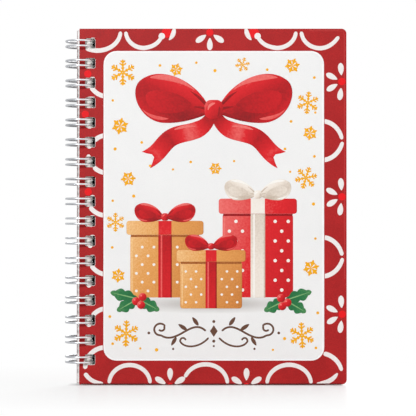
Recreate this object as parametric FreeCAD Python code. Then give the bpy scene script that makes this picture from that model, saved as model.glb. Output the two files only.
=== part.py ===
"""Wire-bound gift card book: two laminated covers, leaves with card pockets, one twin-loop wire.

The book stands closed on its lower edge. +X runs from the wire to the fore-edge, +Y from the front
cover to the back cover and +Z up. The origin is in the middle of the footprint. All sizes are in mm.
"""
import FreeCAD, Part
import math
import os

from FreeCAD import Vector

# Covers
cover_width = 114.5
cover_height = 152.4
board_thickness = 1.2
print_thickness = 0.15
liner_thickness = 0.15
cover_corner_radius = 2.1
back_spine_overhang = 0.55

# Leaves
leaf_count = 4
leaf_thickness = 0.25
leaf_gap = 0.08
leaf_end_inset = 2.0
leaf_fore_inset = 3.0
leaf_corner_radius = 3.0

# Pockets, sized for a plastic card
rows_per_leaf = 2
card_height = 53.98
card_thickness = 0.76
card_play = 0.09
card_showing = 12.0
panel_thickness = 0.2
panel_margin = 3.0
panel_foot = 8.0
panel_corner_radius = 2.5
thumb_notch_radius = 9.0
tape_width = 4.0
tape_inset = 1.0

# Twin-loop wire
wire_diameter = 0.85
loop_pitch = 25.4 / 3
twin_spacing = 2.29
root_bend_radius = 0.9
seam_gap = 0.75
seam_angle = math.radians(100)
ring_clearance = 0.3
swing_clearance = 0.3

# Punched holes
hole_height = 4.4
hole_corner_radius = 0.6
hole_margin = 2.45
head_margin = 6.3
least_tail_margin = 6.3
back_hole_spine_clearance = 0.34
back_hole_fore_clearance = 0.59
front_hole_fore_clearance = 0.74
leaf_hole_spine_clearance = 0.15

cut_overrun = 1.0
sample_step = 0.2

# Depths from the wire's axis, where the front cover can turn half round past the back cover's inside
cover_thickness = print_thickness + board_thickness + liner_thickness
pocket_depth = card_thickness + card_play
pack_thickness = panel_thickness + pocket_depth + leaf_thickness
block_depth = leaf_count * pack_thickness + (leaf_count + 1) * leaf_gap
front_inner_y = -(block_depth - cover_thickness - swing_clearance) / 2
front_outer_y = front_inner_y - cover_thickness
back_inner_y = front_inner_y + block_depth
back_outer_y = back_inner_y + cover_thickness

# The wire's ring just clears the back cover's outer face
ring_inner_radius = back_outer_y + ring_clearance
ring_radius = ring_inner_radius + wire_diameter / 2
ring_outer_radius = ring_inner_radius + wire_diameter


def ring_reach(radius, y):
    """Distance in X from the ring's axis to a circle of that radius, at depth y."""
    return math.sqrt(radius ** 2 - y ** 2)


# One punch makes every hole, as wide as the wire's slanting way through the back cover needs
back_fore_wall = ring_reach(ring_outer_radius, back_inner_y) + back_hole_fore_clearance
back_spine_wall = ring_reach(ring_inner_radius, back_outer_y) - back_hole_spine_clearance
hole_width = back_fore_wall - back_spine_wall
front_fore_wall = ring_reach(ring_outer_radius, front_inner_y) + front_hole_fore_clearance
last_leaf_wall = ring_reach(ring_inner_radius, back_inner_y - leaf_gap) - leaf_hole_spine_clearance

# Places in X, with the whole book centred on the origin
front_reach = front_fore_wall - hole_width - hole_margin + cover_width
axis_x = (ring_outer_radius - front_reach) / 2
front_spine_x = axis_x + front_reach - cover_width
back_spine_x = axis_x + back_spine_wall - hole_margin - back_spine_overhang
leaf_width = front_reach - leaf_fore_inset - last_leaf_wall + hole_margin
panel_spine_inset = hole_margin + hole_width + panel_margin

# Places in Z
leaf_foot_z = leaf_end_inset
leaf_head_z = cover_height - leaf_end_inset
row_height = (leaf_head_z - leaf_foot_z) / rows_per_leaf
panel_height = tape_width + card_height - card_showing
loop_count = 1 + math.floor((cover_height - head_margin - least_tail_margin) / loop_pitch)
loop_heights = [cover_height - head_margin - loop_pitch * k for k in reversed(range(loop_count))]


def corner(x, z, side_x, side_z, radius):
    """Start, middle and end of a rounded corner of an outline in the XZ plane, or one sharp point.

    side_x and side_z are +1 or -1 and say on which side of the outline the corner lies. The points
    run anticlockwise as seen from the front.
    """
    if radius == 0:
        return [Vector(x, 0, z)]
    centre = Vector(x - side_x * radius, 0, z - side_z * radius)
    slant = radius * math.sqrt(0.5)
    beside = centre + Vector(side_x * radius, 0, 0)
    above = centre + Vector(0, 0, side_z * radius)
    middle = centre + Vector(side_x * slant, 0, side_z * slant)
    if side_x * side_z > 0:
        return [beside, middle, above]
    return [above, middle, beside]


def plate(x0, x1, z0, z1, y0, y1, spine_radius, fore_radius):
    """Flat sheet in the XZ plane from depth y0 to y1, with its corners rounded on each side."""
    corners = [
        corner(x0, z0, -1, -1, spine_radius),
        corner(x1, z0, 1, -1, fore_radius),
        corner(x1, z1, 1, 1, fore_radius),
        corner(x0, z1, -1, 1, spine_radius),
    ]
    edges = []
    for this, following in zip(corners, corners[1:] + corners[:1]):
        if len(this) > 1:
            edges.append(Part.Arc(*this).toShape())
        edges.append(Part.LineSegment(this[-1], following[0]).toShape())
    face = Part.Face(Part.Wire(edges))
    face.translate(Vector(0, y0, 0))
    return face.extrude(Vector(0, y1 - y0, 0))


def punched(sheet, spine_x):
    """The sheet with one hole for each twin loop, a margin in from its spine edge."""
    x0 = spine_x + hole_margin
    y0 = sheet.BoundBox.YMin - cut_overrun
    y1 = sheet.BoundBox.YMax + cut_overrun
    half = hole_height / 2
    holes = [
        plate(x0, x0 + hole_width, z - half, z + half, y0, y1, hole_corner_radius, hole_corner_radius)
        for z in loop_heights
    ]
    return sheet.cut(Part.makeCompound(holes))


def cover(spine_x, overhang, outer_y, inward):
    """Print, board and liner of a cover, from its outer face inward (+1 or -1 along Y).

    The cover reaches past its holes by the margin and by that overhang.
    """
    layers = []
    y = outer_y
    for thickness in (print_thickness, board_thickness, liner_thickness):
        next_y = y + inward * thickness
        sheet = plate(spine_x, spine_x + overhang + cover_width, 0, cover_height, min(y, next_y), max(y, next_y),
                      0, cover_corner_radius)
        layers.append(punched(sheet, spine_x + overhang))
        y = next_y
    return layers


def pocket_sides(leaf_spine_x):
    """Left and right side in X of the pockets on a leaf whose spine edge lies there."""
    return leaf_spine_x + panel_spine_inset, leaf_spine_x + leaf_width - panel_margin


def pocket_panel(leaf_spine_x, foot_z, y):
    """Front of a pocket, with a half-round thumb notch in its upper edge."""
    left, right = pocket_sides(leaf_spine_x)
    head_z = foot_z + panel_height
    panel = plate(left, right, foot_z, head_z, y, y + panel_thickness, panel_corner_radius, panel_corner_radius)
    notch_start = Vector((left + right) / 2, y - cut_overrun, head_z)
    notch = Part.makeCylinder(thumb_notch_radius, panel_thickness + 2 * cut_overrun, notch_start, Vector(0, 1, 0))
    return panel.cut(notch)


def pocket_tape(leaf_spine_x, foot_z, y):
    """Strips of double-sided tape that hold a pocket to its leaf on three sides."""
    panel_left, panel_right = pocket_sides(leaf_spine_x)
    left = panel_left + tape_inset
    right = panel_right - tape_inset
    low = foot_z + tape_inset
    high = foot_z + panel_height - tape_inset
    y1 = y + pocket_depth
    return [
        plate(left, left + tape_width, low, high, y, y1, 0, 0),
        plate(right - tape_width, right, low, high, y, y1, 0, 0),
        plate(left + tape_width, right - tape_width, low, low + tape_width, y, y1, 0, 0),
    ]


def leaf_pack(number):
    """A leaf, its pocket panels from the lowest up, and all their tape. Leaf 1 is next to the front cover.

    Each leaf hangs with its holes on the inside of the ring, at the leaf's own depth.
    """
    panel_y = front_inner_y + leaf_gap + (number - 1) * (pack_thickness + leaf_gap)
    tape_y = panel_y + panel_thickness
    leaf_y = tape_y + pocket_depth
    depth = max(abs(leaf_y), abs(leaf_y + leaf_thickness))
    wall = ring_reach(ring_inner_radius, depth) - leaf_hole_spine_clearance
    spine_x = axis_x + wall - hole_margin
    sheet = plate(spine_x, spine_x + leaf_width, leaf_foot_z, leaf_head_z, leaf_y, leaf_y + leaf_thickness,
                  0, leaf_corner_radius)
    feet = [leaf_foot_z + row * row_height + panel_foot for row in range(rows_per_leaf)]
    panels = [pocket_panel(spine_x, foot_z, panel_y) for foot_z in feet]
    tapes = [strip for foot_z in feet for strip in pocket_tape(spine_x, foot_z, tape_y)]
    return punched(sheet, spine_x), panels, Part.makeCompound(tapes)


def wire_route(heights):
    """Edges of the wire from its lower cut end to its upper one, through a twin loop at each height.

    Each twin runs from a root bend at the seam round the ring to a hairpin tip and back at the next
    height. Straight bars behind the back cover join one twin to the next.
    """
    up = Vector(0, 0, 1)
    half = twin_spacing / 2
    slant = math.sqrt(0.5)
    loop_turn = 2 * math.pi - (seam_gap + root_bend_radius + half) / ring_radius
    tip_angle = seam_angle + loop_turn

    def outward(angle):
        return Vector(math.cos(angle), math.sin(angle), 0)

    def along(angle):
        return Vector(-math.sin(angle), math.cos(angle), 0)

    def on_ring(angle, z):
        return Vector(axis_x, 0, z) + outward(angle) * ring_radius

    def loop(z, start, end):
        middle = (start + end) / 2
        halves = []
        for a, b in ((start, middle), (middle, end)):
            arc = Part.Arc(on_ring(a, z), on_ring((a + b) / 2, z), on_ring(b, z))
            halves.append(arc.toShape())
        return halves

    root_along = along(seam_angle)
    bend_drop = up * root_bend_radius
    bend_back = root_along * root_bend_radius
    bar_half = (loop_pitch - twin_spacing) / 2
    edges = []
    for z in heights:
        low = on_ring(seam_angle, z - half)
        high = on_ring(seam_angle, z + half)
        low_foot = low - bend_back - bend_drop
        high_head = high - bend_back + bend_drop
        low_middle = low - bend_drop + (up - root_along) * (root_bend_radius * slant)
        high_middle = high + bend_drop - (up + root_along) * (root_bend_radius * slant)
        tip = on_ring(tip_angle, z) + along(tip_angle) * half
        bar_end = low - bend_back - up * bar_half
        next_bar_end = high - bend_back + up * bar_half
        edges.append(Part.LineSegment(bar_end, low_foot).toShape())
        edges.append(Part.Arc(low_foot, low_middle, low).toShape())
        edges += loop(z - half, seam_angle, tip_angle)
        edges.append(Part.Arc(on_ring(tip_angle, z - half), tip, on_ring(tip_angle, z + half)).toShape())
        edges += loop(z + half, tip_angle, seam_angle)
        edges.append(Part.Arc(high, high_middle, high_head).toShape())
        edges.append(Part.LineSegment(high_head, next_bar_end).toShape())
    return edges


def least_gap(route):
    """Least gap between two stretches of the wire that lie further apart along it than a tip is long."""
    points = route.discretize(Distance=sample_step)
    spacing = route.Length / (len(points) - 1)
    skip = math.ceil(2 * twin_spacing / spacing)
    pairs = ((a, b) for i, a in enumerate(points) for b in points[i + skip:])
    return min(a.distanceToPoint(b) for a, b in pairs) - wire_diameter


def binding_wire():
    """The whole wire as one unbroken tube."""
    route = Part.Wire(wire_route(loop_heights))
    section = Part.makeCircle(wire_diameter / 2, route.Vertexes[0].Point, Vector(0, 0, 1))
    tube = route.makePipeShell([Part.Wire([section])], True, False)
    section_area = math.pi * wire_diameter ** 2 / 4
    print("wire length", round(route.Length, 1), "volume over section times length",
          round(tube.Volume / (section_area * route.Length), 5))
    print("wire's least gap to itself", round(least_gap(Part.Wire(wire_route(loop_heights[:2]))), 3))
    return tube


def all_nodes():
    """Every node's name and shape."""
    nodes = {"binding_wire": binding_wire()}
    layer_names = ("print", "board", "liner")
    for side, spine_x, overhang, outer_y, inward in (
            ("front", front_spine_x, 0, front_outer_y, 1),
            ("back", back_spine_x, back_spine_overhang, back_outer_y, -1)):
        for layer, shape in zip(layer_names, cover(spine_x, overhang, outer_y, inward)):
            nodes[f"{side}_cover_{layer}"] = shape
    for number in range(1, leaf_count + 1):
        sheet, panels, tapes = leaf_pack(number)
        nodes[f"leaf_{number}"] = sheet
        for row_name, panel in zip(("lower", "upper"), panels):
            nodes[f"{row_name}_pocket_{number}"] = panel
        nodes[f"pocket_tape_{number}"] = tapes
    return nodes


os.makedirs("parts", exist_ok=True)
for node_name, node_shape in all_nodes().items():
    node_shape.exportStep(f"parts/{node_name}.step")
    box = node_shape.BoundBox
    print(node_name, "valid" if node_shape.isValid() else "INVALID", "solids", len(node_shape.Solids),
          "x", round(box.XMin, 2), round(box.XMax, 2), "y", round(box.YMin, 2), round(box.YMax, 2),
          "z", round(box.ZMin, 2), round(box.ZMax, 2))
print("ring axis x", round(axis_x, 4), "ring outer diameter", round(2 * ring_outer_radius, 3),
      "hole width", round(hole_width, 3), "loops", loop_count)
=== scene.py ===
"""Looks of the gift card holder: a wire-bound book of card pockets with a printed board cover.

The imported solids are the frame, in metres. The wire is swept anew along its route, and the print on the
covers and leaves is laid on as thin layers of ink. Lengths below are in mm unless they say otherwise.
A place on a cover or leaf is (u, v): u from its left edge as one looks at it, v up from its lower edge.
"""

import bmesh
import bpy
import numpy as np
from mathutils import Matrix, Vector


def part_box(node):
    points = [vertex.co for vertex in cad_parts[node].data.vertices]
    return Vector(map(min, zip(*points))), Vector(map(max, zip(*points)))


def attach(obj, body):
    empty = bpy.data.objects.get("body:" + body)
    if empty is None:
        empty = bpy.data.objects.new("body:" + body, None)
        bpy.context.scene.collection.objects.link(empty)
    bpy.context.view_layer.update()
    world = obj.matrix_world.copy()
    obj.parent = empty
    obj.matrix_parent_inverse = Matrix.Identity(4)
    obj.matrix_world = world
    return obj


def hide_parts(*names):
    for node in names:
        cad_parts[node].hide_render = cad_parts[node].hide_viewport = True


MM = 0.001
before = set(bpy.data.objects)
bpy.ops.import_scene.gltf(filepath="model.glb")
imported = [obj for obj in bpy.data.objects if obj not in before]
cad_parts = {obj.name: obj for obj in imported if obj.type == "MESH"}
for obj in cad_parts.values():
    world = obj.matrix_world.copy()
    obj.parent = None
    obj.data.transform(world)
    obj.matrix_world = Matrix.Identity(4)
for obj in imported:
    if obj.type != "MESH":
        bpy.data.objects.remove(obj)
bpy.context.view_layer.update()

# Ink: a layer stands this proud of the paper, its edge dips this far into it and its underside twice as far.
INK_THICKNESS = 0.016
INK_SUNK = 0.02
INK_UNDERSIDE = -2 * INK_SUNK

# Ink that would run past a sheet's edges stops this far inside them.
EDGE_CLEAR = 0.04

# Binding wire, as in the part's source.
WIRE_DIAMETER = 0.85
LOOP_PITCH = 25.4 / 3
LOOP_COUNT = 17
TOP_LOOP_Z = 146.1
TWIN_SPACING = 2.29
RING_RADIUS = 5.925
RING_AXIS_X = -54.1001
ROOT_BEND_RADIUS = 0.9
SEAM_GAP = 0.75
SEAM_ANGLE = np.radians(100.0)
LOOP_LEVELS = TOP_LOOP_Z - LOOP_PITCH * np.arange(LOOP_COUNT)

# Points along the wire's bar, root bend, loop and half circle, and round it, where the first comes twice.
BAR_POINTS, BEND_POINTS, LOOP_POINTS, HAIRPIN_POINTS, ROUND_POINTS = 4, 7, 72, 13, 15

# Punched holes, as in the part's source: their margin from each cover's spine edge, and their size.
FRONT_HOLE_MARGIN = 2.45
BACK_HOLE_MARGIN = 3.0
HOLE_WIDTH = 4.299
HOLE_HEIGHT = 4.4
HOLE_CORNER = 0.6
RIM_WIDTH = 0.12

# White scraps of ornament beside the front cover's holes: the hole's number from the top, above it or below,
# the scrap's middle from the hole's left edge, half its width and how far it stands out.
HOLE_SCRAPS = (
    (0, 1, 3.3, 0.9, 0.25), (2, 1, 3.2, 1.0, 0.36), (3, 1, 2.6, 1.6, 0.36), (3, -1, 1.6, 0.75, 0.25),
    (4, -1, 1.9, 0.95, 0.5), (5, -1, 1.8, 0.95, 0.62), (6, 1, 1.5, 0.9, 1.0), (8, 1, 3.2, 0.95, 0.5),
    (9, 1, 3.2, 1.0, 0.25), (9, -1, 2.6, 0.8, 0.25), (10, 1, 3.2, 1.0, 0.36), (10, -1, 2.2, 1.0, 0.85),
    (11, 1, 3.2, 1.0, 0.25), (12, -1, 1.7, 1.0, 0.9), (13, 1, 3.0, 1.2, 0.4), (14, -1, 1.7, 1.0, 0.8))

# White panel on the front cover.
PANEL_LOW = np.array([10.65, 10.17])
PANEL_HIGH = np.array([105.17, 142.84])
PANEL_CORNER = 5.6
PANEL_RIM = 0.75
PANEL_GAP = 0.27

# Covers: the fore-edge's corners, and the line of print round the liner, darkened as painted shade.
COVER_CORNER = 2.1
LINER_EDGE = 0.26

# The front print loses this much along the spine when the cover is trimmed.
PRINT_TRIM = 0.3

# A painted highlight beside the fore-edge and head of the front cover, for the light on its rounded edge: its
# distance from the edge, its width, the height at which it starts, and how far from the fore-edge it ends
# along the head.
EDGE_HIGHLIGHT_INSET = 0.9
EDGE_HIGHLIGHT_WIDTH = 0.46
EDGE_HIGHLIGHT_START = 45.0
EDGE_HIGHLIGHT_END = 16.0

# A black cloth strip inside the back cover, a dark sheet standing in for the shade deep in the holes: how
# proud of the liner it stands, its places across and its ends. Two slits let each pair of wires through, this
# much to each side of a wire's middle.
SHADOW_STRIP_LIFT = 0.035
SHADOW_STRIP_ACROSS = np.array([-53.4, -50.15, -48.78, -44.6])
SHADOW_STRIP_ENDS = (2.2, 150.2)
SLIT_HALF = 0.58

# Width of the front print before it is trimmed, within which it is turned over for the back cover.
BACK_PRINT_WIDTH = 114.8

# Stage: the floor's height and half its width, half the book's footprint in x and y, and how much white the
# camera sees in the floor by the distance from the footprint.
FLOOR_Z = -0.28
FLOOR_REACH = 3000.0
FOOTPRINT = (58.0, 4.6)
FLOOR_WHITES = ((0.0, 0.0), (1.4, 0.62), (45.4, 0.80), (95.4, 1.0))

# Where both lamps are aimed, in metres.
LAMP_AIM = (0.0, 0.0, 0.06)

# Corners of a piece closer than this are one, and an edge shorter than this is none, in metres.
MERGE_REACH = 2e-8
SHORT_EDGE = 1e-8

# Border strokes and petals.
STROKE_WIDTH = 2.12
THIN_END = 0.8
BOTH_THIN = (THIN_END, THIN_END)
PETAL_START = 2.13
PETAL_LENGTH = 5.35
PETAL_WIDTH = 2.6
DOT_RADIUS = 1.58

# Hearts of the sprigs: on the right, at the foot, where the edge cuts them, and at the head.
RIGHT_HEARTS = ((112.8, 129.7), (112.8, 80.3), (112.85, 30.0))
FOOT_HEARTS = ((39.2, -0.95), (71.9, -0.95))
TOP_HEART = (56.2, 150.8)

# Lines printed round leaves and pockets: where they start, their distance from the far edges, the radius of
# their corners and their width.
LEAF_LINE = ((9.4, 3.0), (3.0, 3.0), 2.4, 0.5)
POCKET_LINE = ((2.2, 2.2), (2.2, 11.6), 2.0, 0.45)

# Crystals in the pockets' lower corners: their distance from the sides and from the foot, and their radius.
POCKET_CRYSTAL_PLACE = (9.6, 9.2)
POCKET_CRYSTAL_RADIUS = 4.4

# Sprigs and crystals on the back cover: their columns and rows, the crystals' radius, and how far a crystal
# is turned there and in the pockets, in degrees.
BACK_COLUMNS = np.linspace(24.0, 92.0, 4)
BACK_ROWS = np.linspace(24.0, 128.8, 7)
BACK_CRYSTAL_RADIUS = 4.6
CRYSTAL_TURN = 30

# Painted shade on the first leaf beside each hole, for the shade inside the hole: its distance from the
# leaf's spine edge and from the hole, and how much taller than the hole it is.
HOLE_SHADE_START = 1.1
HOLE_SHADE_CLEAR = 0.03
HOLE_SHADE_TALLER = 0.4

# Gifts in the panel: the lower left and the upper right corner of the front, and the height of the lid.
LEFT_GIFT = ((22.0, 37.0), (52.0, 64.0), 6.0)
RIGHT_GIFT = ((61.5, 37.0), (92.0, 73.0), 6.5)
SMALL_GIFT = ((43.5, 32.5), (70.0, 52.5), 5.0)

# Painted shade along the foot of the front cover: a darker red line for the shade at the cover's bottom edge.
FOOT_SHADE = np.array([[1.0, 0.24], [112.6, 0.24]])
FOOT_SHADE_WIDTH = 0.42

# Inks that overlap stand at heights of their own, in layers over the border's strokes.
EDGE_HIGHLIGHT_LAYER = -0.3
FOOT_LAYER = 0.2
DOT_LAYER = 0.4
GAP_LAYER = 0.5
RIM_LAYER = 0.6
PETAL_LAYER = 0.8
SCRAP_LAYER = 1.0
PANEL_LAYER = 1.0
PANEL_RIM_LAYER = 1.5
PICTURE_LAYER = 2.0
SMALL_GIFT_LAYER = 5.0
BOW_LAYER = 7.0

UP = np.array([0.0, 0.0, 1.0])


# Shapes: each is (points, faces, tint, rim), points as rows of (u, v, lift), tint the painter's light and
# dark, rim 1 along a patch's edge and 0 inside it.

def grid_faces(rows, columns, around=False, closed=False):
    """Four-sided faces of a grid of vertices numbered row by row.

    around joins the last column to the first, and closed the last row to the first.
    """
    number = np.arange(rows * columns).reshape(rows, columns)
    number = np.hstack([number, number[:, :1]]) if around else number
    number = np.vstack([number, number[:1]]) if closed else number
    corners = [number[:-1, :-1], number[1:, :-1], number[1:, 1:], number[:-1, 1:]]
    return np.stack(corners, axis=-1).reshape(-1, 4)


def joined(*shapes):
    """Several shapes as one: rows stacked, and each shape's faces counted on from the vertices before it."""
    starts = np.cumsum([0] + [len(shape[0]) for shape in shapes[:-1]])
    faces = [shape[1] + start for shape, start in zip(shapes, starts)]
    parts = [np.concatenate([shape[k] for shape in shapes]) for k in (0, 2, 3)]
    return parts[0], np.concatenate(faces), parts[1], parts[2]


def placed(shape, points):
    """The shape with its points put elsewhere."""
    return (points, *shape[1:])


def shifted(shape, by):
    """The shape moved by (u, v)."""
    return placed(shape, shape[0] + np.append(by, 0.0))


def raised(shape, layer):
    """The shape's top raised over the ink printed before it, while its underside stays in the paper."""
    on_top = shape[0][:, 2] > INK_UNDERSIDE + INK_SUNK / 2
    return placed(shape, shape[0] + np.outer(on_top * layer * INK_THICKNESS, UP))


def mirrored(shape, middle):
    """The shape turned left for right about the upright line u = middle."""
    points = shape[0] * np.array([-1.0, 1.0, 1.0]) + np.array([2 * middle, 0.0, 0.0])
    return points, shape[1][:, ::-1], shape[2], shape[3]


def turned(shape, degrees):
    """The shape turned anticlockwise about the origin of (u, v)."""
    angle = np.radians(degrees)
    spin = np.array([[np.cos(angle), np.sin(angle), 0], [-np.sin(angle), np.cos(angle), 0], [0, 0, 1]])
    return placed(shape, shape[0] @ spin)


def shaded(shape, tint):
    """The shape with its tint worked out by a rule of (u, v)."""
    return shape[0], shape[1], np.clip(tint(shape[0][:, 0], shape[0][:, 1]), 0.0, 1.0), shape[3]


def arc(centre, radii, start, end, count=49):
    """Points along an ellipse: centre + radii times the cosine and sine of an angle, in degrees."""
    angle = np.radians(np.linspace(start, end, count))
    return np.column_stack([centre[0] + radii[0] * np.cos(angle), centre[1] + radii[1] * np.sin(angle)])


def bend(*handles, count=33):
    """Points along the smooth curve of three or four handles, by the weights of a Bezier curve."""
    t = np.linspace(0.0, 1.0, count)[:, None]
    if len(handles) == 3:
        weights = [(1 - t) ** 2, 2 * t * (1 - t), t ** 2]
    else:
        weights = [(1 - t) ** 3, 3 * t * (1 - t) ** 2, 3 * t ** 2 * (1 - t), t ** 3]
    return sum(weight * np.array(handle, float) for weight, handle in zip(weights, handles))


def chain(*bends):
    """Curves that follow one another, as one path without the doubled points where they meet."""
    return np.concatenate([bends[0]] + [path[1:] for path in bends[1:]])


def ink_lift(height):
    """Lift of ink at shares of its height over its sunk edge; a share below nought is its underside."""
    return np.where(height < 0, INK_UNDERSIDE, -INK_SUNK + (INK_SUNK + INK_THICKNESS) * height)


def ribbon(path, length_share, half, tint=0.5, notch=0.0, rise=None, lean=False):
    """A line of ink: at a share of the path's length it reaches half to each side.

    Across, it rises from its edge to its full height over a twentieth of its width and is level between.
    Lengthwise it rises with its half width, or as rise gives. The underside lies sunk in the paper and
    closes it. A notch cuts the far end back in a V. A lean line has fewer points across.
    """
    step = np.linalg.norm(np.diff(path, axis=0), axis=1)
    run = np.concatenate([[0.0], np.cumsum(step)])
    across = np.array([-1.0, -0.8, 0.8, 1.0] if lean else [-1.0, -0.9, -0.6, -0.2, 0.2, 0.6, 0.9, 1.0])
    height = np.array([0.0, 1.0, 1.0, 0.0] if lean else [0.0, 0.9, 1.0, 1.0, 1.0, 1.0, 0.9, 0.0])
    reach = (length_share * run[-1])[:, None] - notch * (1 - np.abs(across)) * length_share[:, None] ** 6
    place, heading = (np.stack([np.interp(reach, run, values[:, k]) for k in (0, 1)], axis=-1)
                      for values in (path, np.gradient(path, run, axis=0)))
    heading = heading / np.maximum(np.linalg.norm(heading, axis=-1, keepdims=True), 1e-9)
    side = np.stack([-heading[..., 1], heading[..., 0]], axis=-1)
    flat = place + side * (half[:, None] * across)[..., None]
    rise = np.minimum(1.0, half / (0.35 * half.max())) if rise is None else rise
    top = np.dstack([flat, ink_lift(height * rise[:, None])])
    top[[0, -1], :, 2] = INK_UNDERSIDE
    under = np.dstack([flat, np.full(flat.shape[:2], INK_UNDERSIDE)])
    rows, columns = flat.shape[:2]
    sheet = np.hstack([top, under[:, ::-1]])
    tints = np.broadcast_to(np.asarray(tint, float), (rows,))[:, None] * np.ones(2 * columns)
    rims = np.abs(np.concatenate([across, across[::-1]])) ** 4 * np.ones((rows, 1))
    return sheet.reshape(-1, 3), grid_faces(rows, 2 * columns, around=True), tints.ravel(), rims.ravel()


def stroke(path, width=STROKE_WIDTH, tint=0.5, middle=30, lean=False, ends=(1.0, 1.0)):
    """A line with round ends: near an end the half width is a quarter circle's.

    ends gives the width's share at the start and at the far end. It grows to the full width with the cube of
    the distance from the other end.
    """
    length = np.linalg.norm(np.diff(path, axis=0), axis=1).sum()
    cap = np.linspace(0.0, np.pi / 2, 4 if lean else 6)
    near = min(0.5, width / 2 / length) * (1 - np.cos(cap))
    between = np.linspace(near[-1], 1 - near[-1], middle)[1:-1]
    share = np.concatenate([near, between, 1 - near[::-1]])
    half = np.concatenate([np.sin(cap), np.ones(middle - 2), np.sin(cap[::-1])]) * width / 2
    fullness = 1 - (1 - ends[0]) * (1 - share) ** 3 - (1 - ends[1]) * share ** 3
    return ribbon(path, share, half * fullness, tint, lean=lean)


def tapered(path, width, tint=0.5, fullest=0.62, count=26, lean=False):
    """A petal or leaf: half the width times sin(pi t^p)^0.7, with p set so that it is fullest there."""
    t = (1 - np.cos(np.linspace(0.0, np.pi, count))) / 2
    power = np.log(0.5) / np.log(fullest)
    return ribbon(path, t, width / 2 * np.sin(np.pi * t ** power).clip(0.0) ** 0.7, tint, lean=lean)


def drop(path, width, count=26):
    """A petal with a point at its start and a round far end, fullest at m.

    Its half width is half the width times (t/m)^p ((1-t)/(1-m))^q, where m = p / (p + q).
    """
    t = (1 - np.cos(np.linspace(0.0, np.pi, count))) / 2
    point, bulge = 0.85, 0.55
    fullest = point / (point + bulge)
    half = width / 2 * (t / fullest) ** point * ((1 - t) / (1 - fullest)).clip(0.0) ** bulge
    return ribbon(path, t, half)


def band(path, width, tint=0.5, notch=0.0, ends=(1.0, 1.0), count=40):
    """A length of ribbon with square ends: its width goes through the given shares of it, evenly spaced."""
    share = np.concatenate([[0.0], np.linspace(0.003, 0.997, count), [1.0]])
    half = width / 2 * np.interp(share, np.linspace(0, 1, np.size(ends)), ends)
    tints = np.interp(share, np.linspace(0, 1, np.size(tint)), np.ravel(tint))
    rise = np.concatenate([[0.0], np.ones(count), [0.0]])
    return ribbon(path, share, half, tints, notch, rise)


def filled(outline, middle=None, tint=0.5):
    """The inside of an outline: rings drawn in towards its middle, level, with a narrow slope at the edge."""
    middle = outline.mean(axis=0) if middle is None else np.array(middle, float)
    scale = np.array([0.0, 0.3, 0.55, 0.75, 0.9, 0.97, 0.985, 1.0, 0.985, 0.5, 0.0])
    height = np.array([1.0, 1.0, 1.0, 1.0, 1.0, 1.0, 0.9, 0.0, -1.0, -1.0, -1.0])
    flat = middle + scale[:, None, None] * (outline - middle)
    lift = ink_lift(height)[:, None] * np.ones(len(outline))
    rim = (scale ** 12)[:, None] * np.ones(len(outline))
    sheet = np.dstack([flat, lift])
    tints = np.full(rim.size, float(tint))
    return sheet.reshape(-1, 3), grid_faces(len(scale), len(outline), around=True), tints, rim.ravel()


def disc(centre, radius, tint=0.5, count=28):
    """A round dot."""
    return filled(arc(centre, (radius, radius), 0, 360, count + 1)[:-1], centre, tint)


def rounded_box(low, high, corner, count=9, along=12):
    """Outline of an upright rectangle with quarter circles for corners, anticlockwise.

    count is the number of points round a corner, and along is the number from one corner to the next.
    """
    outward = np.array([(1, -1), (1, 1), (-1, 1), (-1, -1)])
    centres = np.where(outward > 0, np.array(high, float) - corner, np.array(low, float) + corner)
    corners = [arc(centre, (corner, corner), start, start + 90, count)
               for centre, start in zip(centres, (-90, 0, 90, 180))]
    sides = [np.linspace(corners[k][-1], corners[(k + 1) % 4][0], along)[1:-1] for k in range(4)]
    return np.concatenate([part for pair in zip(corners, sides) for part in pair])


def framed(outline, width):
    """A line of even width along the inside of a closed outline, by moving each point to its inner side."""
    ahead = np.roll(outline, -1, axis=0) - np.roll(outline, 1, axis=0)
    ahead = ahead / np.linalg.norm(ahead, axis=1, keepdims=True)
    inner = np.column_stack([-ahead[:, 1], ahead[:, 0]])
    across = np.array([0.0, 0.06, 0.5, 0.94, 1.0, 0.5])
    height = np.array([0.0, 1.0, 1.0, 1.0, 0.0, -1.0])
    flat = outline[:, None] + inner[:, None] * (across * width)[None, :, None]
    sheet = np.dstack([flat, ink_lift(height) * np.ones((len(outline), 1))]).reshape(-1, 3)
    faces = grid_faces(len(outline), len(across), around=True, closed=True)
    return sheet, faces, np.full(len(sheet), 0.5), np.zeros(len(sheet))


# Pieces from shapes.

def cut_to(solid, sheet):
    """Cuts off what runs past the edges of a sheet, given by two corners in mm, and closes each cut flat."""
    for axis in (0, 2):
        for corner, way in zip(sheet, (-1.0, 1.0)):
            outward = [way if k == axis else 0.0 for k in range(3)]
            whole = solid.verts[:] + solid.edges[:] + solid.faces[:]
            cut = bmesh.ops.bisect_plane(solid, geom=whole, dist=1e-9, plane_co=corner * MM, plane_no=outward,
                                         clear_outer=True)
            rim = [part for part in cut["geom_cut"] if isinstance(part, bmesh.types.BMEdge)]
            bmesh.ops.holes_fill(solid, edges=rim, sides=0)


def box_mm(node):
    """The low and the high corner of a node's box."""
    low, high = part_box(node)
    return np.array(low) / MM, np.array(high) / MM


def sheet_size(node):
    """A sheet's width and height."""
    low, high = box_mm(node)
    return (high - low)[[0, 2]]


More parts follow.
